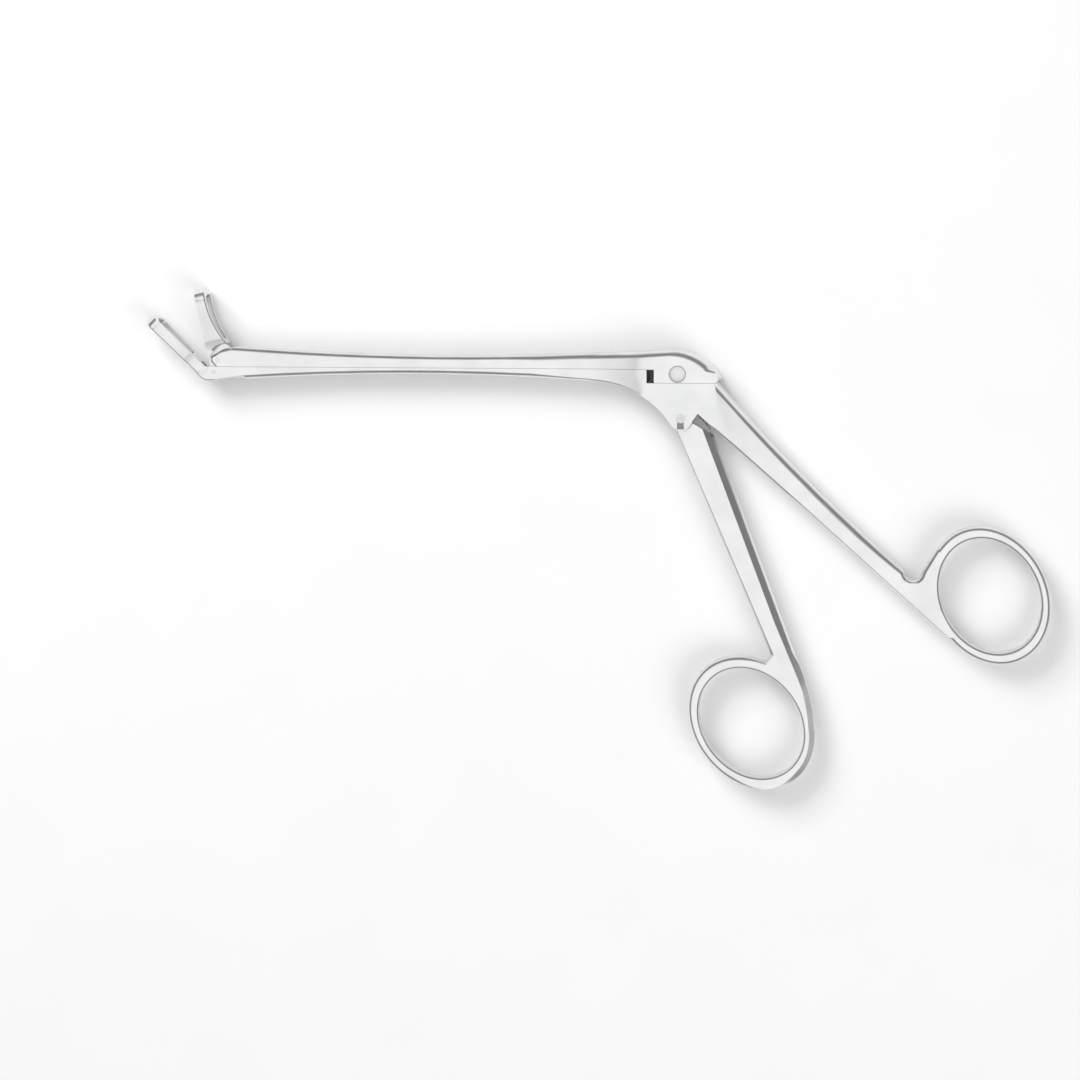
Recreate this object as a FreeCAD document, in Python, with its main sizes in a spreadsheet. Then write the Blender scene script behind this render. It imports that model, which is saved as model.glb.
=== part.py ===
import FreeCAD, Part
import os

import Sketcher

# Nasal cutting forceps: an angled fenestrated punch jaw on a sliding shaft with two finger rings.
# The frame: +Z up, the forceps lie on the flat side of the hub, shaft towards -X, rings towards +X and -Y.
# X and Y are zero on the axis of the handle pivot, Z is zero on the lower side of the hub.
# Every body is drawn about the middle plane and lifted by half the hub's width.

# Driving sizes in millimetres and degrees.
SIZES = {
    # widths across the instrument
    "hub_width": 9.2,
    "shaft_width": 5.2,
    "handle_width": 5.2,
    "jaw_width": 8.8,
    # shaft and sliding bar, heights measured from the seam between them
    "seam_height": 10.6,
    "waist_reach": 51.0,
    "nose_overhang": 0.7,
    "nose_radius": 1.7,
    "bar_front_rise": 4.4,
    "bar_waist_rise": 2.7,
    "bar_hub_rise": 4.4,
    "shaft_front_drop": 2.8,
    "shaft_waist_drop": 1.4,
    "shaft_hub_drop": 2.8,
    "slide_gap": 0.05,
    "slide_travel": 1.6,
    "block_reach": 5.9,
    "block_drop": 2.9,
    "tail_reach": 8.5,
    "bar_crown_reach": 1.5,
    # hub
    "lobe_radius": 2.6,
    "hub_front_reach": 18.0,
    "hub_rear_reach": 7.7,
    "slot_width": 3.6,
    "tang_width": 3.4,
    # pins
    "pivot_pin_radius": 1.0,
    "drive_pin_radius": 1.0,
    "drive_head_radius": 1.9,
    "drive_head_depth": 0.9,
    "jaw_pin_radius": 0.6,
    "running_gap": 0.05,
    "drive_pin_offset": 0.77,
    "drive_pin_drop": 0.9,
    # finger rings
    "ring_inner_long": 13.0,
    "ring_inner_short": 10.5,
    "ring_outer_long": 15.7,
    "ring_outer_short": 12.6,
    "rear_ring_x": 67.4,
    "rear_ring_y": -38.4,
    "rear_ring_tilt": 117.0,
    "front_ring_x": 15.5,
    "front_ring_y": -67.0,
    "front_ring_tilt": 128.0,
    # jaws
    "jaw_axis_reach": 103.2,
    "jaw_axis_drop": 1.1,
    "jaw_angle": 135.0,
    "jaw_opening": 34.0,
    "jaw_length": 18.4,
    "jaw_rim": 1.25,
    "jaw_wall": 2.4,
    "jaw_face_offset": 0.66,
    "bite_gap": 0.06,
    "jaw_neck_width": 5.2,
    "jaw_window_start": 7.0,
    "jaw_tang_width": 1.9,
    "jaw_slot_width": 2.0,
    "jaw_joint_setback": 6.8,
}

doc = FreeCAD.newDocument("nasal_forceps")
sheet = doc.addObject("Spreadsheet::Sheet", "size")
for row, (alias, number) in enumerate(SIZES.items(), start=1):
    sheet.set("A%d" % row, alias)
    sheet.set("B%d" % row, str(number))
    sheet.setAlias("B%d" % row, alias)
doc.recompute()

ORIGIN = (-1, 1)
START, END, CENTRE = 1, 2, 3


def value(expression):
    """Number that an expression on the sheet has now."""
    return float(sheet.evalExpression(expression))


def pin_point(sketch, geometry, position, x, y):
    """Fixes a point of the sketch at two expressions."""
    for kind, expression in (("DistanceX", x), ("DistanceY", y)):
        link = Sketcher.Constraint(kind, *ORIGIN, geometry, position, value(expression))
        sketch.setExpression("Constraints[%d]" % sketch.addConstraint(link), expression)


def new_body(name):
    body = doc.addObject("PartDesign::Body", name)
    body.Label = name
    body.setExpression("Placement.Base.z", "size.hub_width / 2")
    doc.recompute()
    return body


def new_sketch(body, name, plane):
    sketch = body.newObject("Sketcher::SketchObject", name)
    support = [part for part in body.Origin.OriginFeatures if part.Role == plane][0]
    sketch.AttachmentSupport = (support, [""])
    sketch.MapMode = "FlatFace"
    doc.recompute()
    return sketch


def draw_outline(sketch, start, *steps):
    """Closed outline of lines to (x, y) and arcs through (x, y) to (x, y)."""
    first = None
    here = start
    last = None
    steps = list(steps)
    if steps[-1][-2:] != start:
        steps.append(start)
    for step in steps:
        there = step[-2:]
        a = FreeCAD.Vector(value(here[0]), value(here[1]), 0)
        b = FreeCAD.Vector(value(there[0]), value(there[1]), 0)
        if len(step) == 4:
            via = FreeCAD.Vector(value(step[0]), value(step[1]), 0)
            forward = (via - a).cross(b - via).z > 0
            ends = (a, b) if forward else (b, a)
            edge = sketch.addGeometry(Part.Arc(ends[0], via, ends[1]), False)
            mark = sketch.addGeometry(Part.Point(via), True)
            pin_point(sketch, mark, START, step[0], step[1])
            sketch.addConstraint(Sketcher.Constraint("PointOnObject", mark, START, edge))
        else:
            forward = True
            edge = sketch.addGeometry(Part.LineSegment(a, b), False)
        begin, finish = (START, END) if forward else (END, START)
        if last is None:
            first = (edge, begin)
            pin_point(sketch, edge, begin, *here)
        else:
            sketch.addConstraint(Sketcher.Constraint("Coincident", *last, edge, begin))
        if there == start:
            sketch.addConstraint(Sketcher.Constraint("Coincident", edge, finish, *first))
        else:
            pin_point(sketch, edge, finish, *there)
        last = (edge, finish)
        here = there


def draw_circle(sketch, x, y, radius):
    centre = FreeCAD.Vector(value(x), value(y), 0)
    edge = sketch.addGeometry(Part.Circle(centre, FreeCAD.Vector(0, 0, 1), value(radius)), False)
    pin_point(sketch, edge, CENTRE, x, y)
    size = sketch.addConstraint(Sketcher.Constraint("Radius", edge, value(radius)))
    sketch.setExpression("Constraints[%d]" % size, radius)


def draw_ellipse(sketch, x, y, long_radius, short_radius, tilt):
    """Ellipse held by its centre, one end of its long axis and its short axis."""
    tip_x = "%s + %s * cos(%s)" % (x, long_radius, tilt)
    tip_y = "%s + %s * sin(%s)" % (y, long_radius, tilt)
    side_x = "%s - %s * sin(%s)" % (x, short_radius, tilt)
    side_y = "%s + %s * cos(%s)" % (y, short_radius, tilt)
    corners = [FreeCAD.Vector(value(u), value(v), 0) for u, v in ((tip_x, tip_y), (side_x, side_y), (x, y))]
    edge = sketch.addGeometry(Part.Ellipse(*corners), False)
    sketch.exposeInternalGeometry(edge)
    long_axis, short_axis = edge + 1, edge + 2
    pin_point(sketch, edge, CENTRE, x, y)
    pin_point(sketch, long_axis, START, tip_x, tip_y)
    across = Sketcher.Constraint("Distance", short_axis, START, short_axis, END, 2 * value(short_radius))
    sketch.setExpression("Constraints[%d]" % sketch.addConstraint(across), "2 * " + short_radius)


def pad(body, sketch, length):
    feature = body.newObject("PartDesign::Pad", sketch.Name + "_pad")
    feature.Profile = sketch
    feature.Midplane = True
    feature.setExpression("Length", length)
    sketch.Visibility = False
    doc.recompute()
    return feature


def pocket(body, sketch, length=None):
    """Cuts a profile both ways, right through or over a given length."""
    before = body.Shape.Volume
    feature = body.newObject("PartDesign::Pocket", sketch.Name + "_pocket")
    feature.Profile = sketch
    feature.Midplane = True
    if length is None:
        feature.Type = "ThroughAll"
    else:
        feature.setExpression("Length", length)
    doc.recompute()
    if body.Shape.Volume > before - 1e-6:
        raise RuntimeError(sketch.Name + " cuts nothing")
    return feature


def pocket_from_side(body, sketch, depth):
    """Sinks a profile into the upper side of the hub."""
    sketch.setExpression("AttachmentOffset.Base.z", "size.hub_width / 2")
    before = body.Shape.Volume
    feature = body.newObject("PartDesign::Pocket", sketch.Name + "_pocket")
    feature.Profile = sketch
    feature.setExpression("Length", depth)
    doc.recompute()
    if body.Shape.Volume > before - 1e-6:
        raise RuntimeError(sketch.Name + " cuts nothing")
    return feature


SEAM = "size.seam_height"
JAW_AXIS_X = "-size.jaw_axis_reach"
JAW_AXIS_Y = "size.seam_height - size.jaw_axis_drop"
JAW_LEVER = "(size.slide_travel / 2 / tan(size.jaw_opening / 2))"
DRIVE_Y = "(size.seam_height - size.drive_pin_drop)"
NOSE_X = "-(size.jaw_axis_reach + size.nose_overhang)"
JOINT_X = "-(size.jaw_axis_reach - size.jaw_joint_setback)"
JAW_DRIVE_X = "-size.jaw_axis_reach + size.slide_travel / 2"
JAW_DRIVE_Y = "size.seam_height - size.jaw_axis_drop + " + JAW_LEVER
FLOOR = "size.seam_height - size.block_drop"


def flare(sign, flat_x, wide_x, narrow, wide):
    """Middle of an arc that leaves the narrow width tangent at flat_x and reaches the wide one at wide_x."""
    run = "(%s - (%s))" % (wide_x, flat_x)
    rise = "(%s - %s)" % (wide, narrow)
    radius = "((%s * %s + %s * %s) / (2 * %s))" % (run, run, rise, rise, rise)
    middle = "%s + %s / 2" % (flat_x, run)
    height = "%s(%s + %s - sqrt(%s * %s - %s * %s / 4))" % (sign, narrow, radius, radius, radius, run, run)
    return middle, height


def widen_at_hub(body, name, reach):
    """Plan outline on both sides: shaft width in front, hub width at the hub, handle width behind."""
    front_flat = "-size.hub_front_reach - 6"
    rear_flat = "size.hub_rear_reach + 18"
    for side, sign in (("near", ""), ("far", "-")):
        sketch = new_sketch(body, "%s_plan_%s" % (name, side), "XZ_Plane")
        shaft = sign + "size.shaft_width / 2"
        hub = sign + "size.hub_width / 2"
        handle = sign + "size.handle_width / 2"
        beyond = sign + "size.hub_width"
        draw_outline(
            sketch,
            (NOSE_X + " - 5", shaft),
            (front_flat, shaft),
            (*flare(sign, front_flat, "-size.hub_rear_reach", "size.shaft_width / 2", "size.hub_width / 2"),
             "-size.hub_rear_reach", hub),
            ("size.hub_rear_reach", hub),
            (*flare(sign, rear_flat, "size.hub_rear_reach", "size.handle_width / 2", "size.hub_width / 2"),
             rear_flat, handle),
            (reach, handle),
            (reach, beyond),
            (NOSE_X + " - 5", beyond),
        )
        pocket(body, sketch)


def frame_body():
    """Fixed shaft, hub, rear handle and its ring: one forging."""
    body = new_body("fixed_frame")
    shaft = new_sketch(body, "shaft_side", "XY_Plane")
    draw_outline(
        shaft,
        (JOINT_X, SEAM),
        ("-size.block_reach - size.slide_travel", SEAM),
        ("-size.block_reach - size.slide_travel", FLOOR),
        ("size.hub_rear_reach", FLOOR),
        ("size.hub_rear_reach + 14.9", "-8.6", "48.7", "-33.3"),
        ("50.7", "-35.2", "52.7", "-33.3"),
        ("55.9", "-28.0"),
        ("62.0", "-30.0"),
        ("57.5", "-38.4"),
        ("60.5", "-48.0"),
        ("58.6", "-48.2"),
        ("size.lobe_radius + 1.1", "1.1"),
        ("size.lobe_radius * cos(-10)", "size.lobe_radius * sin(-10)"),
        ("size.lobe_radius * cos(-80)", "size.lobe_radius * sin(-80)",
         "size.lobe_radius * cos(-135)", "size.lobe_radius * sin(-135)"),
        ("-9.2", "5.2", "-size.hub_front_reach", "size.seam_height - size.shaft_hub_drop"),
        ("-size.waist_reach - 8", "size.seam_height - size.shaft_waist_drop",
         JOINT_X, "size.seam_height - size.shaft_front_drop + 0.1"),
    )
    pad(body, shaft, "size.hub_width")
    widen_at_hub(body, "frame", "size.rear_ring_x + 20")
    ring = new_sketch(body, "rear_ring_rim", "XY_Plane")
    draw_ellipse(ring, "size.rear_ring_x", "size.rear_ring_y", "size.ring_outer_long", "size.ring_outer_short",
                 "size.rear_ring_tilt")
    pad(body, ring, "size.handle_width")
    hole = new_sketch(body, "rear_ring_hole", "XY_Plane")
    draw_ellipse(hole, "size.rear_ring_x", "size.rear_ring_y", "size.ring_inner_long", "size.ring_inner_short",
                 "size.rear_ring_tilt")
    pocket(body, hole)
    slot = new_sketch(body, "hub_slot", "XY_Plane")
    draw_outline(
        slot,
        ("-4.6", "size.seam_height"),
        ("3.6", "size.seam_height"),
        ("3.6", "3.0"),
        ("9.0", "-1.0"),
        ("9.0", "-6.0"),
        ("-4.6", "-6.0"),
    )
    pocket(body, slot, "size.slot_width")
    pin = new_sketch(body, "pivot_bore", "XY_Plane")
    draw_circle(pin, "0", "0", "size.pivot_pin_radius")
    pocket(body, pin)
    return body


def sliding_bar_body():
    """Upper shaft: slides on the fixed shaft and drives the jaw."""
    body = new_body("sliding_bar")
    side = new_sketch(body, "bar_side", "XY_Plane")
    low = "size.seam_height + size.slide_gap"
    foot = "size.seam_height - size.block_drop + size.slide_gap"
    draw_outline(
        side,
        (NOSE_X + " + size.nose_radius", low),
        ("-size.block_reach", low),
        ("-size.block_reach", foot),
        ("size.tail_reach - 1.0", foot),
        ("size.tail_reach", "size.seam_height - size.block_drop + 0.9"),
        ("5.0", "size.seam_height + 2.0", "-size.bar_crown_reach", "size.seam_height + size.bar_hub_rise"),
        ("-size.waist_reach", "size.seam_height + size.bar_waist_rise",
         NOSE_X + " + 5.5", "size.seam_height + size.bar_front_rise"),
        (NOSE_X + " + size.nose_radius + 1.0", "size.seam_height + size.bar_front_rise - 0.6"),
        (NOSE_X, "size.seam_height + size.bar_front_rise - 2.2"),
        (NOSE_X, low + " + size.nose_radius"),
        (NOSE_X + " + 0.293 * size.nose_radius", low + " + 0.293 * size.nose_radius",
         NOSE_X + " + size.nose_radius", low),
    )
    pad(body, side, "size.hub_width")
    widen_at_hub(body, "bar", "size.tail_reach + 5")
    jaw_bore = new_sketch(body, "jaw_drive_bore", "XY_Plane")
    draw_circle(jaw_bore, JAW_DRIVE_X, JAW_DRIVE_Y, "size.jaw_pin_radius")
    pocket(body, jaw_bore, "size.hub_width")
    fork = new_sketch(body, "nose_fork", "XY_Plane")
    draw_outline(
        fork,
        (NOSE_X + " - 1", low + " - 1"),
        (NOSE_X + " + 5.0", low + " - 1"),
        (NOSE_X + " + 5.8", "size.seam_height + size.bar_front_rise + 1"),
        (NOSE_X + " - 1", "size.seam_height + size.bar_front_rise + 1"),
    )
    pocket(body, fork, "size.jaw_slot_width")
    slot = new_sketch(body, "drive_slot", "XY_Plane")
    draw_outline(
        slot,
        ("-size.drive_pin_offset - 3.0", foot + " - 1"),
        ("-size.drive_pin_offset + 3.4", foot + " - 1"),
        ("-size.drive_pin_offset + 3.4", DRIVE_Y + " + 2.4"),
        ("-size.drive_pin_offset - 3.0", DRIVE_Y + " + 2.4"),
    )
    pocket(body, slot, "size.slot_width")
    bores = new_sketch(body, "drive_bore", "XY_Plane")
    draw_circle(bores, "-size.drive_pin_offset", DRIVE_Y, "size.drive_pin_radius")
    pocket(body, bores)
    head = new_sketch(body, "drive_head_seat", "XY_Plane")
    draw_circle(head, "-size.drive_pin_offset", DRIVE_Y, "size.drive_head_radius")
    pocket_from_side(body, head, "size.drive_head_depth")
    return body


def front_handle_body():
    """Moving handle: tang with a fork for the drive pin, arm and ring."""
    body = new_body("front_handle")
    tang = new_sketch(body, "tang_side", "XY_Plane")
    draw_outline(
        tang,
        ("-2.35", "-1.0"),
        ("-2.5", "2.0"),
        ("-size.drive_pin_offset - 2.4", DRIVE_Y + " - 2.0"),
        ("-size.drive_pin_offset - 2.2", DRIVE_Y + " + 1.2"),
        ("-size.drive_pin_offset + 2.0", DRIVE_Y + " + 1.2"),
        ("2.4", "2.2"),
        ("3.3", "0.9"),
        ("6.3", "-2.6"),
        ("5.0", "-6.5"),
        ("0.6", "-6.5"),
    )
    pad(body, tang, "size.tang_width")
    arm = new_sketch(body, "arm_side", "XY_Plane")
    shoulder = "(size.lobe_radius + 0.12)"
    draw_outline(
        arm,
        (shoulder + " * cos(-118)", shoulder + " * sin(-118)"),
        (shoulder + " * cos(-75)", shoulder + " * sin(-75)", shoulder + " * cos(-25)", shoulder + " * sin(-25)"),
        ("6.9", "-3.7"),
        ("23.7", "-48.2"),
        ("25.6", "-53.3"),
        ("28.4", "-62.0", "29.3", "-70.0"),
        ("26.5", "-70.0"),
        ("24.0", "-61.5"),
        ("17.0", "-56.0"),
        ("19.9", "-52.1"),
    )
    pad(body, arm, "size.handle_width")
    ring = new_sketch(body, "front_ring_rim", "XY_Plane")
    draw_ellipse(ring, "size.front_ring_x", "size.front_ring_y", "size.ring_outer_long", "size.ring_outer_short",
                 "size.front_ring_tilt")
    pad(body, ring, "size.handle_width")
    hole = new_sketch(body, "front_ring_hole", "XY_Plane")
    draw_ellipse(hole, "size.front_ring_x", "size.front_ring_y", "size.ring_inner_long", "size.ring_inner_short",
                 "size.front_ring_tilt")
    pocket(body, hole)
    bore = new_sketch(body, "handle_bore", "XY_Plane")
    draw_circle(bore, "0", "0", "size.pivot_pin_radius + size.running_gap")
    pocket(body, bore)
    fork = new_sketch(body, "drive_fork", "XY_Plane")
    near = "size.drive_pin_radius + size.running_gap"
    draw_outline(
        fork,
        ("-size.drive_pin_offset - " + near, DRIVE_Y + " - 1.3"),
        ("-size.drive_pin_offset + " + near, DRIVE_Y + " - 1.3"),
        ("-size.drive_pin_offset + %s + 0.5" % near, DRIVE_Y + " + 2.5"),
        ("-size.drive_pin_offset - %s - 0.5" % near, DRIVE_Y + " + 2.5"),
    )
    pocket(body, fork)
    return body


def plan_sketch(body, name, angle):
    """Sketch on the plane through the jaw axis that holds the jaw's length and width."""
    sketch = new_sketch(body, name, "XZ_Plane")
    sketch.AttachmentOffset = FreeCAD.Placement(FreeCAD.Vector(), FreeCAD.Rotation(FreeCAD.Vector(0, 1, 0), 1))
    sketch.setExpression("AttachmentOffset.Base.x", JAW_AXIS_X)
    sketch.setExpression("AttachmentOffset.Base.z", "-(%s)" % JAW_AXIS_Y)
    sketch.setExpression("AttachmentOffset.Rotation.Angle", angle)
    doc.recompute()
    return sketch


def jaw_point(along, across, angle):
    """Point of a jaw: along its length and across it towards the fixed jaw's back, as sheet X and Y."""
    x = "%s + (%s) * cos(%s) - (%s) * sin(%s)" % (JAW_AXIS_X, along, angle, across, angle)
    y = "%s + (%s) * sin(%s) + (%s) * cos(%s)" % (JAW_AXIS_Y, along, angle, across, angle)
    return x, y


def cut_jaw_plan(body, name, angle):
    """Fan shape of the loop seen square on, and its window."""
    for side, sign in (("near", ""), ("far", "-")):
        sketch = plan_sketch(body, "%s_fan_%s" % (name, side), angle)
        neck = sign + "size.jaw_neck_width / 2"
        wide = sign + "size.jaw_width / 2"
        shaft = sign + "size.shaft_width / 2"
        beyond = sign + "size.jaw_width"
        draw_outline(
            sketch,
            ("-30", shaft),
            ("size.jaw_window_start - 6.0", shaft),
            ("size.jaw_window_start - 2.2", neck, "size.jaw_window_start", sign + "(size.jaw_neck_width / 2 + 0.55)"),
            ("size.jaw_length - 2.6", sign + "(size.jaw_width / 2 - 0.1)"),
            ("size.jaw_length - 1.0", sign + "(size.jaw_width / 2 - 0.35)",
             "size.jaw_length - 0.45", sign + "(size.jaw_width / 2 - 1.6)"),
            ("size.jaw_length + 0.1", sign + "0.6"),
            ("size.jaw_length + 3", sign + "0.6"),
            ("size.jaw_length + 3", beyond),
            ("-30", beyond),
        )
        pocket(body, sketch)
    window = plan_sketch(body, name + "_window", angle)
    root = "(size.jaw_neck_width / 2 - size.jaw_rim + 0.55)"
    tip = "(size.jaw_width / 2 - size.jaw_rim - 0.1)"
    draw_outline(
        window,
        ("size.jaw_window_start", root),
        ("size.jaw_length - size.jaw_rim - 1.5", tip),
        ("size.jaw_length - size.jaw_rim - 0.7", tip + " - 0.2",
         "size.jaw_length - size.jaw_rim - 0.5", tip + " - 1.0"),
        ("size.jaw_length - size.jaw_rim", "0", "size.jaw_length - size.jaw_rim - 0.5", "-%s + 1.0" % tip),
        ("size.jaw_length - size.jaw_rim - 0.7", "-%s + 0.2" % tip,
         "size.jaw_length - size.jaw_rim - 1.5", "-" + tip),
        ("size.jaw_window_start", "-" + root),
        ("size.jaw_window_start - 0.8", "0", "size.jaw_window_start", root),
    )
    pocket(body, window)


def fixed_jaw_body():
    """Angled cutting loop on the end of the fixed shaft, forked below for the moving jaw's tang."""
    body = new_body("fixed_jaw")
    side = new_sketch(body, "fixed_jaw_side", "XY_Plane")
    angle = "size.jaw_angle"
    face = "size.jaw_face_offset"
    back = "(size.jaw_face_offset + size.jaw_wall)"
    heel = "-size.jaw_axis_reach + 0.5"
    draw_outline(
        side,
        (JOINT_X, SEAM),
        (JAW_AXIS_X + " - size.jaw_axis_drop - size.jaw_face_offset * 1.4142", SEAM),
        jaw_point("size.jaw_length - 0.5 * size.jaw_wall", face, angle),
        (*jaw_point("size.jaw_length", "%s + 0.5 * size.jaw_wall" % face, angle),
         *jaw_point("size.jaw_length - 0.5 * size.jaw_wall", back, angle)),
        jaw_point("2.6", back, angle),
        (*jaw_point("0.3", "%s - 0.12" % back, angle), heel, "size.seam_height - size.shaft_front_drop"),
        (JOINT_X, "size.seam_height - size.shaft_front_drop + 0.1"),
    )
    pad(body, side, "size.jaw_width")
    cut_jaw_plan(body, "fixed_jaw", angle)
    slot = new_sketch(body, "fixed_jaw_slot", "XY_Plane")
    draw_outline(
        slot,
        ("-size.jaw_axis_reach - 4.5", SEAM + " + 1"),
        ("-size.jaw_axis_reach - 1.6", "%s - 1.3" % JAW_AXIS_Y),
        ("-size.jaw_axis_reach + 2.2", "%s - 1.3" % JAW_AXIS_Y),
        ("-size.jaw_axis_reach + 4.2", SEAM + " + 1"),
    )
    pocket(body, slot, "size.jaw_slot_width")
    bore = new_sketch(body, "jaw_pivot_bore", "XY_Plane")
    draw_circle(bore, JAW_AXIS_X, JAW_AXIS_Y, "size.jaw_pin_radius")
    pocket(body, bore)
    return body


def moving_jaw_body():
    """Hinged cutting loop, drawn open, with its tang between the fork's cheeks."""
    body = new_body("moving_jaw")
    angle = "(size.jaw_angle - size.jaw_opening)"
    face = "(size.jaw_face_offset - size.bite_gap)"
    tang = new_sketch(body, "jaw_tang_side", "XY_Plane")
    draw_outline(
        tang,
        jaw_point("-0.3", "1.0", angle),
        jaw_point("1.3", "1.0", angle),
        jaw_point("2.2", face, angle),
        jaw_point("5.0", face, angle),
        jaw_point("7.0", "-2.4", angle),
        jaw_point("4.4", "-4.4", angle),
        jaw_point("1.2", "-2.6", angle),
        jaw_point("-1.0", "-0.6", angle),
        (*jaw_point("-1.05", "0.5", angle), *jaw_point("-0.3", "1.0", angle)),
    )
    pad(body, tang, "size.jaw_tang_width")
    side = new_sketch(body, "moving_jaw_side", "XY_Plane")
    draw_outline(
        side,
        jaw_point("3.1", face, angle),
        jaw_point("size.jaw_length - 1.1", face, angle),
        (*jaw_point("size.jaw_length", "%s - 1.1" % face, angle),
         *jaw_point("size.jaw_length - 1.2", "%s - 2.3" % face, angle)),
        (*jaw_point("10.0", "-2.45", angle), *jaw_point("5.7", "-4.2", angle)),
        jaw_point("5.5", "-2.5", angle),
        (*jaw_point("4.4", "-0.75", angle), *jaw_point("3.1", face, angle)),
    )
    pad(body, side, "size.jaw_width")
    cut_jaw_plan(body, "moving_jaw", angle)
    bore = new_sketch(body, "tang_bore", "XY_Plane")
    draw_circle(bore, JAW_AXIS_X, JAW_AXIS_Y, "size.jaw_pin_radius + size.running_gap")
    pocket(body, bore)
    slot = new_sketch(body, "tang_drive_slot", "XY_Plane")
    draw_circle(slot, JAW_DRIVE_X, JAW_DRIVE_Y, "size.jaw_pin_radius + size.running_gap + 0.15")
    pocket(body, slot)
    return body


def pin_body(name, x, y, radius, length):
    """Plain pin across the instrument, ground flush at both ends."""
    body = new_body(name)
    sketch = new_sketch(body, name + "_round", "XY_Plane")
    draw_circle(sketch, x, y, radius)
    pad(body, sketch, length)
    return body


def drive_screw_body():
    """Cheese head screw through the bar's block that turns in the handle's fork."""
    body = pin_body("drive_screw", "-size.drive_pin_offset", DRIVE_Y, "size.drive_pin_radius",
                    "size.hub_width")
    head = new_sketch(body, "drive_screw_head", "XY_Plane")
    draw_circle(head, "-size.drive_pin_offset", DRIVE_Y, "size.drive_head_radius")
    head.setExpression("AttachmentOffset.Base.z", "size.hub_width / 2 - size.drive_head_depth")
    feature = body.newObject("PartDesign::Pad", "drive_screw_head_pad")
    feature.Profile = head
    feature.setExpression("Length", "size.drive_head_depth")
    doc.recompute()
    return body


frame_body()
sliding_bar_body()
front_handle_body()
fixed_jaw_body()
moving_jaw_body()
pin_body("handle_pivot_pin", "0", "0", "size.pivot_pin_radius", "size.hub_width")
pin_body("jaw_pivot_pin", JAW_AXIS_X, JAW_AXIS_Y, "size.jaw_pin_radius", "size.shaft_width")
pin_body("jaw_drive_pin", JAW_DRIVE_X, JAW_DRIVE_Y, "size.jaw_pin_radius", "size.shaft_width")
drive_screw_body()
doc.recompute()

nodes = [item for item in doc.Objects if item.TypeId == "PartDesign::Body"]
for item in doc.Objects:
    if "Invalid" in item.State or "Error" in item.State:
        raise RuntimeError("%s did not build: %s" % (item.Name, item.State))
for node in nodes:
    if node.Shape.isNull() or not node.Shape.isValid():
        raise RuntimeError(node.Label + " has no valid shape")
os.makedirs("parts", exist_ok=True)
for node in nodes:
    node.Shape.exportStep("parts/%s.step" % node.Label)
    print(node.Label, len(node.Shape.Solids), round(node.Shape.Volume, 1), node.Shape.BoundBox)
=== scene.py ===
import math

import bmesh
import bpy
from mathutils import Matrix, Vector


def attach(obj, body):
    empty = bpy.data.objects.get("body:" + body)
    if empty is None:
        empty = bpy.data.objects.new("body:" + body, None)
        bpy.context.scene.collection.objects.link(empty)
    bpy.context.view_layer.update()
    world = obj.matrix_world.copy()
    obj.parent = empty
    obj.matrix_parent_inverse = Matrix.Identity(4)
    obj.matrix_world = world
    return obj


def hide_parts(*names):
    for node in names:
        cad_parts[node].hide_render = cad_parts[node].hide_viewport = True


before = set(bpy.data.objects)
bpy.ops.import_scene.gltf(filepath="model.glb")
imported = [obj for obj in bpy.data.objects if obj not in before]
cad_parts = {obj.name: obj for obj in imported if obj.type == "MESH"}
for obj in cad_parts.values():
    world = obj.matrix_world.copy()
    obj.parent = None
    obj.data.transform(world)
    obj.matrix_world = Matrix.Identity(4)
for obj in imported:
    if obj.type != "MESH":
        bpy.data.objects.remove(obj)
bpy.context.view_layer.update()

# Sizes and places in millimetres, angles in degrees

MM = 0.001
HUB_WIDTH = 9.2
MIDDLE = HUB_WIDTH / 2
SEAM = 10.6
SCREW = (-0.77, 9.7)
JOINT = 96.4
JAW_PINS = ((-103.2, 9.5), (-102.4, 12.12))
JAW_ANGLE = 135.0
JAW_OPENING = 34.0
HEEL_REACH = 5.2
HEEL_DEPTH = 1.3
REAR_RING = (67.4, -38.4)
FRONT_RING = (15.5, -67.0)
RING_REACH = 17.0
ARM_CORNER = (21.0, -52.6)
GROOVE = ((-0.7, 0.4), (-0.8, -2.3), (0.7, -2.3), (0.6, 0.4))
GROOVE_DEPTH = 0.45
WIDEST_ROUNDING = 2.0
BROKEN_EDGE = 0.07
CRISP_ANGLE = 32.0
SHADED_CRISP_ANGLE = 30.0


# Materials

def new_material(name):
    material = bpy.data.materials.new(name)
    material.use_nodes = True
    nodes = material.node_tree.nodes
    return material, nodes, material.node_tree.links, nodes["Principled BSDF"]


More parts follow.
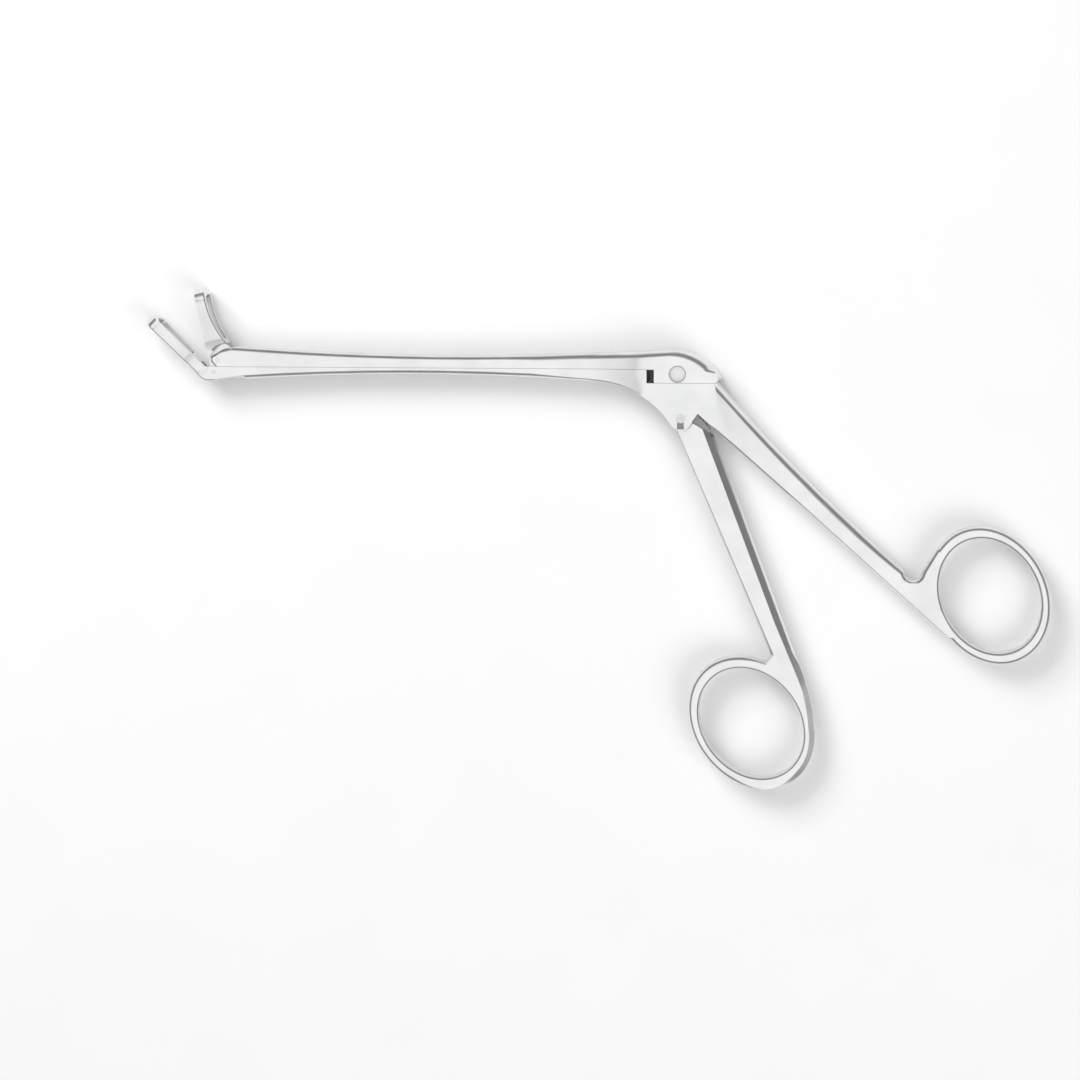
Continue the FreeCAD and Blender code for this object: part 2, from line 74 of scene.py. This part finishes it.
def steel(name, dark, light, rough_low, rough_high, grain, bump):
    """Satin stainless steel: faint cloudy tone, fine lapping lines and soft roughness changes."""
    material, nodes, links, shader = new_material(name)
    place = nodes.new("ShaderNodeTexCoord")
    along = nodes.new("ShaderNodeMapping")
    along.inputs["Scale"].default_value = grain
    links.new(place.outputs["Object"], along.inputs["Vector"])
    lines = nodes.new("ShaderNodeTexNoise")
    lines.inputs["Scale"].default_value = 1.0
    lines.inputs["Detail"].default_value = 5.0
    lines.inputs["Roughness"].default_value = 0.6
    links.new(along.outputs["Vector"], lines.inputs["Vector"])
    cloud = nodes.new("ShaderNodeTexNoise")
    cloud.inputs["Scale"].default_value = 160.0
    cloud.inputs["Detail"].default_value = 3.0
    links.new(place.outputs["Object"], cloud.inputs["Vector"])
    tone = nodes.new("ShaderNodeValToRGB")
    tone.color_ramp.elements[0].position = 0.35
    tone.color_ramp.elements[0].color = (*dark, 1)
    tone.color_ramp.elements[1].position = 0.65
    tone.color_ramp.elements[1].color = (*light, 1)
    links.new(cloud.outputs["Fac"], tone.inputs["Fac"])
    links.new(tone.outputs["Color"], shader.inputs["Base Color"])
    rough = nodes.new("ShaderNodeMapRange")
    rough.inputs["To Min"].default_value = rough_low
    rough.inputs["To Max"].default_value = rough_high
    links.new(lines.outputs["Fac"], rough.inputs["Value"])
    links.new(rough.outputs["Result"], shader.inputs["Roughness"])
    relief = nodes.new("ShaderNodeBump")
    relief.inputs["Strength"].default_value = bump
    relief.inputs["Distance"].default_value = 0.00002
    links.new(lines.outputs["Fac"], relief.inputs["Height"])
    links.new(relief.outputs["Normal"], shader.inputs["Normal"])
    shader.inputs["Metallic"].default_value = 1.0
    return material


satin = steel("satin_steel", (0.80, 0.805, 0.81), (0.87, 0.87, 0.87), 0.24, 0.36, (260, 2600, 2600), 0.25)
# Darker steel, painted shade for the groove below the pivot and the sides of the handle's tang
shade_paint = steel("painted_shade_steel", (0.36, 0.36, 0.365), (0.44, 0.44, 0.44), 0.42, 0.55, (1200, 1200, 1200), 0.3)
ground = steel("ground_steel", (0.66, 0.665, 0.67), (0.75, 0.75, 0.75), 0.20, 0.30, (2200, 2200, 500), 0.2)


# Rounded pieces

def face_lies_flat(face):
    return abs(face.normal.z) > 0.75


def crisp(edge):
    return len(edge.link_faces) == 2 and edge.calc_face_angle(0) > math.radians(CRISP_ANGLE)


def blend_between(number, first, last):
    """0 at the first limit, 1 at the last, even between them."""
    return min(1.0, max(0.0, (number - first) / (last - first)))


def outline_wall(edge):
    """Middle of an edge in millimetres and the outline face beside it, if its other face is a flat side."""
    flat = [face for face in edge.link_faces if face_lies_flat(face)]
    wall = [face for face in edge.link_faces if not face_lies_flat(face)]
    middle = (edge.verts[0].co + edge.verts[1].co) / 2 / MM
    return middle, wall[0].normal if len(flat) == 1 and len(wall) == 1 else None


def rounded(mesh, radius_of, steps):
    """The mesh with each crisp edge rounded to the radius, in millimetres, that suits its place."""
    weights = mesh.edges.layers.float
    layer = weights.get("bevel_weight_edge") or weights.new("bevel_weight_edge")
    for edge in mesh.edges:
        edge[layer] = radius_of(edge) / WIDEST_ROUNDING if crisp(edge) else 0.0
    data = bpy.data.meshes.new("blank")
    mesh.to_mesh(data)
    mesh.free()
    blank = bpy.data.objects.new("blank", data)
    bpy.context.scene.collection.objects.link(blank)
    bevel = blank.modifiers.new("bevel", "BEVEL")
    bevel.limit_method = "WEIGHT"
    bevel.width = WIDEST_ROUNDING * MM
    bevel.segments = steps
    bevel.profile = 0.4 if steps > 1 else 0.5
    bevel.use_clamp_overlap = False
    bpy.context.view_layer.update()
    result = bpy.data.meshes.new_from_object(blank.evaluated_get(bpy.context.evaluated_depsgraph_get()))
    made = bmesh.new()
    made.from_mesh(result)
    bpy.data.objects.remove(blank)
    return made


def carved(mesh, cutters):
    """The mesh with closed cutters taken away."""
    data = bpy.data.meshes.new("blank")
    mesh.to_mesh(data)
    mesh.free()
    blank = bpy.data.objects.new("blank", data)
    bpy.context.scene.collection.objects.link(blank)
    for cutter in cutters:
        bpy.context.scene.collection.objects.link(cutter)
        cut = blank.modifiers.new("cut", "BOOLEAN")
        cut.operation = "DIFFERENCE"
        cut.solver = "EXACT"
        cut.object = cutter
    bpy.context.view_layer.update()
    result = bpy.data.meshes.new_from_object(blank.evaluated_get(bpy.context.evaluated_depsgraph_get()))
    made = bmesh.new()
    made.from_mesh(result)
    for spent in (blank, *cutters):
        bpy.data.objects.remove(spent)
    return made


def prism(name, outline, low, high):
    """Closed block over an outline in the plan, from one height to another."""
    data = bpy.data.meshes.new(name)
    count = len(outline)
    points = [(x * MM, y * MM, z * MM) for z in (low, high) for x, y in outline]
    walls = [(i, (i + 1) % count, count + (i + 1) % count, count + i) for i in range(count)]
    data.from_pydata(points, [], [tuple(reversed(range(count))), tuple(range(count, 2 * count)), *walls])
    return bpy.data.objects.new(name, data)


def show(mesh, name, body, material, part_slot, *nodes):
    """Puts a finished mesh in the scene, smooth but for its crisp edges."""
    for face in mesh.faces:
        face.smooth = True
    for edge in mesh.edges:
        turn = edge.calc_face_angle(0) if len(edge.link_faces) == 2 else 0.0
        edge.smooth = turn <= math.radians(SHADED_CRISP_ANGLE)
    data = bpy.data.meshes.new(name)
    mesh.to_mesh(data)
    mesh.free()
    piece = bpy.data.objects.new(name, data)
    bpy.context.scene.collection.objects.link(piece)
    data.materials.append(material)
    level = piece.modifiers.new("level_faces", "WEIGHTED_NORMAL")
    level.keep_sharp = True
    level.weight = 80
    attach(piece, body)
    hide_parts(*nodes)
    return piece


def turned(profile, centre, steps=72):
    """Solid of revolution about an upright axis, from (radius, height) pairs."""
    mesh = bmesh.new()
    rings = []
    for radius, height in profile:
        if radius == 0:
            rings.append([mesh.verts.new((centre[0] * MM, centre[1] * MM, height * MM))])
            continue
        rings.append([mesh.verts.new(((centre[0] + radius * math.cos(2 * math.pi * i / steps)) * MM,
                                      (centre[1] + radius * math.sin(2 * math.pi * i / steps)) * MM,
                                      height * MM)) for i in range(steps)])
    for low, high in zip(rings, rings[1:]):
        for i in range(steps):
            j = (i + 1) % steps
            corners = [low[i % len(low)], low[j % len(low)], high[j % len(high)], high[i % len(high)]]
            mesh.faces.new(list(dict.fromkeys(corners)))
    bmesh.ops.recalc_face_normals(mesh, faces=mesh.faces)
    return mesh


def dressed(node, name, body, material, radius_of, steps, cutters=(), facet_of=None, shade_paint_where=None,
            sharp_where=None):
    """Piece that stands for a node: edges rounded by place, the other crisp ones barely broken.

    Edges on the plane where a jaw joins the shaft, and those that sharp_where names, stay sharp.
    """
    mesh = bmesh.new()
    mesh.from_mesh(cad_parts[node].data)
    bmesh.ops.remove_doubles(mesh, verts=mesh.verts, dist=0.000002)
    bmesh.ops.dissolve_limit(mesh, angle_limit=math.radians(0.5), verts=mesh.verts, edges=mesh.edges)
    if facet_of:
        mesh = rounded(mesh, facet_of, 1)
    mesh = rounded(mesh, radius_of, steps)
    fine = [edge for edge in mesh.edges if crisp(edge) and abs(edge.verts[0].co.x / MM + JOINT) > 0.05]
    if sharp_where:
        fine = [edge for edge in fine if not sharp_where((edge.verts[0].co + edge.verts[1].co) / 2 / MM)]
    bmesh.ops.bevel(mesh, geom=fine, offset=BROKEN_EDGE * MM, offset_type="OFFSET", segments=2, profile=0.5,
                    affect="EDGES", clamp_overlap=True)
    if cutters:
        mesh = carved(mesh, cutters)
    # Faces that the mask names take the darker steel as painted shade
    if shade_paint_where:
        for face in mesh.faces:
            face.material_index = int(shade_paint_where(face.calc_center_median() / MM, face.normal))
    piece = show(mesh, name, body, material, "steel", node)
    if shade_paint_where:
        piece.data.materials.append(shade_paint)
    return piece


def near(middle, ring):
    return math.hypot(middle.x - ring[0], middle.y - ring[1]) < RING_REACH


def groove_painted_shade(middle, normal):
    """True inside the short groove below the pivot, floor and walls, which get painted shade."""
    in_plan = abs(middle.x + 0.15) < 1.1 and -2.6 < middle.y < 0.6
    return in_plan and HUB_WIDTH - 0.6 < middle.z < HUB_WIDTH - 0.06


def tang_painted_shade(middle, normal):
    """True on the two flat sides of the handle's thin tang, which get painted shade as the lower plate."""
    return abs(middle.z - MIDDLE) < 1.8 and abs(normal.z) > 0.9


def in_hole(middle, normal, ring):
    """True for a wall that looks towards the middle of a finger ring."""
    return (middle.x - ring[0]) * normal.x + (middle.y - ring[1]) * normal.y < 0


def at_jaw_pin(middle):
    return any(math.hypot(middle.x - x, middle.y - y) < 1.0 for x, y in JAW_PINS)


def facet_radius(edge):
    """Flat facet down the right side of the front handle, fading out under its ring."""
    middle, normal = outline_wall(edge)
    if normal is None or middle.y > -3.6 or normal.x < 0.25:
        return 0.0
    near_ring = near(middle, FRONT_RING)
    above_ring = middle.y > FRONT_RING[1] and middle.x < ARM_CORNER[0]
    if near_ring and (above_ring or in_hole(middle, normal, FRONT_RING)):
        return 0.0
    width = 1.7 - 0.6 * blend_between(-middle.y, 48.0, 58.0)
    return width * blend_between(normal.x, 0.25, 0.75) if middle.y < FRONT_RING[1] else width


def frame_radius(edge):
    """Rounding of the ring, the shaft's lower edge and the two sides of the rear arm."""
    middle, normal = outline_wall(edge)
    if normal is None or middle.y > SEAM - 0.4:
        return 0.0
    if near(middle, REAR_RING):
        return 0.6 if in_hole(middle, normal, REAR_RING) else 0.9
    if middle.x < -9.0:
        return 1.0 - 0.85 * blend_between(middle.x, -30.0, -10.0) if normal.y < -0.2 else 0.0
    if middle.x > 9.0:
        if normal.x > 0:
            return 0.1 + 1.5 * blend_between(middle.x, 8.0, 14.0) - 0.7 * blend_between(middle.x, 38.0, 48.0)
        return 0.4 + 0.5 * blend_between(middle.x, 46.0, 57.0)
    return 0.0


def bar_radius(edge):
    """Rounding of the bar's nose and of its back, fuller over the hub."""
    middle, normal = outline_wall(edge)
    if normal is None or middle.y < SEAM + 0.1 or at_jaw_pin(middle):
        return 0.0
    if middle.x < -102.0:
        return 0.5
    if middle.x < -97.0:
        return 0.5 + 0.4 * blend_between(middle.x, -102.0, -97.0) if normal.y > 0.2 else 0.0
    on_back = normal.y > 0.2 and middle.y > SEAM + 0.3
    return 1.0 + 0.7 * blend_between(middle.x, -30.0, -5.0) if on_back else 0.0


def handle_radius(edge):
    """Rounding of the front arm and its ring, slighter at the corner between them and by the facet."""
    middle, normal = outline_wall(edge)
    if normal is None or middle.y > -3.8 or abs(normal.z) > 0.3:
        return 0.0
    near_ring = near(middle, FRONT_RING)
    if near_ring and in_hole(middle, normal, FRONT_RING):
        return 0.5
    if near_ring and middle.y < FRONT_RING[1]:
        return 0.8 * blend_between(-normal.x, 0.1, 0.5)
    from_corner = math.hypot(middle.x - ARM_CORNER[0], middle.y - ARM_CORNER[1])
    return (0.8 if near_ring else 0.6) * (0.25 + 0.75 * blend_between(from_corner, 2.5, 8.0))


def at_heel(face_normal):
    """Test for a place by the jaw's axis and its cutting face, where the closed jaws lie nearest."""
    def by_heel(middle):
        from_axis = Vector((middle.x - JAW_PINS[0][0], middle.y - JAW_PINS[0][1], 0))
        return from_axis.length < HEEL_REACH and abs(from_axis.dot(face_normal)) < HEEL_DEPTH
    return by_heel


def jaw_radius(face_normal):
    """Rounding of a loop's outer side and back, clear of its cutting face and its joint."""
    by_heel = at_heel(face_normal)

    def radius(edge):
        middle, normal = outline_wall(edge)
        if any(face.normal.dot(face_normal) > 0.97 for face in edge.link_faces):
            return 0.0
        if normal is None or abs(middle.z - MIDDLE) < 1.9:
            return 0.0
        if at_jaw_pin(middle) or by_heel(middle):
            return 0.0
        if middle.x > -100.0:
            return 1.0 if normal.y < -0.2 else 0.0
        return 0.45
    return radius


FIXED_FACE = Vector((math.sin(math.radians(JAW_ANGLE)), -math.cos(math.radians(JAW_ANGLE)), 0))
REST_ANGLE = math.radians(JAW_ANGLE - JAW_OPENING)
MOVING_FACE = Vector((-math.sin(REST_ANGLE), math.cos(REST_ANGLE), 0))

oil_groove = prism("oil_groove", GROOVE, HUB_WIDTH - GROOVE_DEPTH, HUB_WIDTH + 1)

ROUND_STEPS = 6
JAW_STEPS = 5
dressed("fixed_frame", "frame_dress", "frame", satin, frame_radius, ROUND_STEPS, [oil_groove],
        shade_paint_where=groove_painted_shade)
dressed("sliding_bar", "bar_dress", "bar", satin, bar_radius, ROUND_STEPS)
dressed("front_handle", "handle_dress", "handle", satin, handle_radius, ROUND_STEPS,
        facet_of=facet_radius, shade_paint_where=tang_painted_shade)
dressed("fixed_jaw", "fixed_jaw_dress", "frame", satin, jaw_radius(FIXED_FACE), JAW_STEPS,
        sharp_where=at_heel(FIXED_FACE))
dressed("moving_jaw", "moving_jaw_dress", "jaw", satin, jaw_radius(MOVING_FACE), JAW_STEPS,
        sharp_where=at_heel(MOVING_FACE))

SCREW_PROFILE = ((0, 0.0), (0.9, 0.0), (1.0, 0.1), (1.0, 8.3), (1.76, 8.3),
                 (1.76, 8.66), (1.68, 8.78), (1.5, 8.84), (0, 8.88))
show(turned(SCREW_PROFILE, SCREW), "screw_dress", "bar", ground, "pins", "drive_screw")

for node in ("handle_pivot_pin", "jaw_pivot_pin", "jaw_drive_pin"):
    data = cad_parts[node].data
    data.materials.clear()
    data.materials.append(ground)


# Floor, lights, world and camera

def paper():
    material, nodes, links, shader = new_material("pale_floor")
    place = nodes.new("ShaderNodeTexCoord")
    grain = nodes.new("ShaderNodeTexNoise")
    grain.inputs["Scale"].default_value = 40.0
    links.new(place.outputs["Object"], grain.inputs["Vector"])
    tone = nodes.new("ShaderNodeValToRGB")
    tone.color_ramp.elements[0].color = (0.93, 0.93, 0.93, 1)
    tone.color_ramp.elements[1].color = (0.96, 0.96, 0.96, 1)
    links.new(grain.outputs["Fac"], tone.inputs["Fac"])
    links.new(tone.outputs["Color"], shader.inputs["Base Color"])
    shader.inputs["Roughness"].default_value = 0.9
    shader.inputs["Specular IOR Level"].default_value = 0.1
    return material


FLOOR_HALF = 1.6
FLOOR_DROP = 0.0002
corners = [(x * FLOOR_HALF, y * FLOOR_HALF, 0) for x, y in ((-1, -1), (1, -1), (1, 1), (-1, 1))]
floor_mesh = bpy.data.meshes.new("floor")
floor_mesh.from_pydata(corners, [], [(0, 1, 2, 3)])
floor = bpy.data.objects.new("floor", floor_mesh)
floor.location = (-0.03, -0.03, -FLOOR_DROP)
bpy.context.scene.collection.objects.link(floor)
floor_mesh.materials.append(paper())


def softbox(name, place, target, size, power):
    lamp = bpy.data.lights.new(name, "AREA")
    lamp.shape = "SQUARE"
    lamp.size = size
    lamp.energy = power
    holder = bpy.data.objects.new(name, lamp)
    holder.location = place
    holder.rotation_mode = "QUATERNION"
    holder.rotation_quaternion = (Vector(target) - Vector(place)).to_track_quat("-Z", "Y")
    holder.visible_glossy = False
    bpy.context.scene.collection.objects.link(holder)


CENTRE = Vector((-0.03124, -0.02728, MIDDLE * MM))
softbox("key", (-0.45, 0.55, 0.65), CENTRE, 0.5, 5.2)
softbox("fill", (0.55, -0.45, 0.7), CENTRE, 0.6, 2.8)

world = bpy.data.worlds.new("studio")
bpy.context.scene.world = world
world.use_nodes = True
tree = world.node_tree
sky = tree.nodes["Background"]
where = tree.nodes.new("ShaderNodeTexCoord")
split = tree.nodes.new("ShaderNodeSeparateXYZ")
tree.links.new(where.outputs["Generated"], split.inputs["Vector"])
height = tree.nodes.new("ShaderNodeValToRGB")
height.color_ramp.elements[0].position = 0.0
height.color_ramp.elements[0].color = (0.26, 0.26, 0.27, 1)
height.color_ramp.elements[1].position = 0.94
height.color_ramp.elements[1].color = (1.0, 1.0, 1.0, 1)
for place, level in ((0.3, 0.16), (0.6, 0.22), (0.84, 0.6)):
    stop = height.color_ramp.elements.new(place)
    stop.color = (level, level, level, 1)
tree.links.new(split.outputs["Z"], height.inputs["Fac"])
tree.links.new(height.outputs["Color"], sky.inputs["Color"])
sky.inputs["Strength"].default_value = 1.1

LENS = 150.0
VIEW_WIDTH = 0.2376
TILT = math.radians(8.0)
lens = bpy.data.cameras.new("camera")
lens.lens = LENS
lens.sensor_width = 36.0
lens.clip_end = 10.0
camera = bpy.data.objects.new("camera", lens)
away = Vector((math.sin(TILT) * math.sqrt(0.5), math.sin(TILT) * math.sqrt(0.5), math.cos(TILT)))
camera.location = CENTRE + away * (VIEW_WIDTH * LENS / lens.sensor_width)
camera.rotation_mode = "QUATERNION"
right = Vector((0, 1, 0)).cross(away).normalized()
up = away.cross(right).normalized()
basis = [[right[i], up[i], away[i]] for i in range(3)]
camera.rotation_quaternion = Matrix(basis).to_quaternion()
bpy.context.scene.collection.objects.link(camera)
bpy.context.scene.camera = camera
bpy.context.scene.view_settings.view_transform = "Standard"
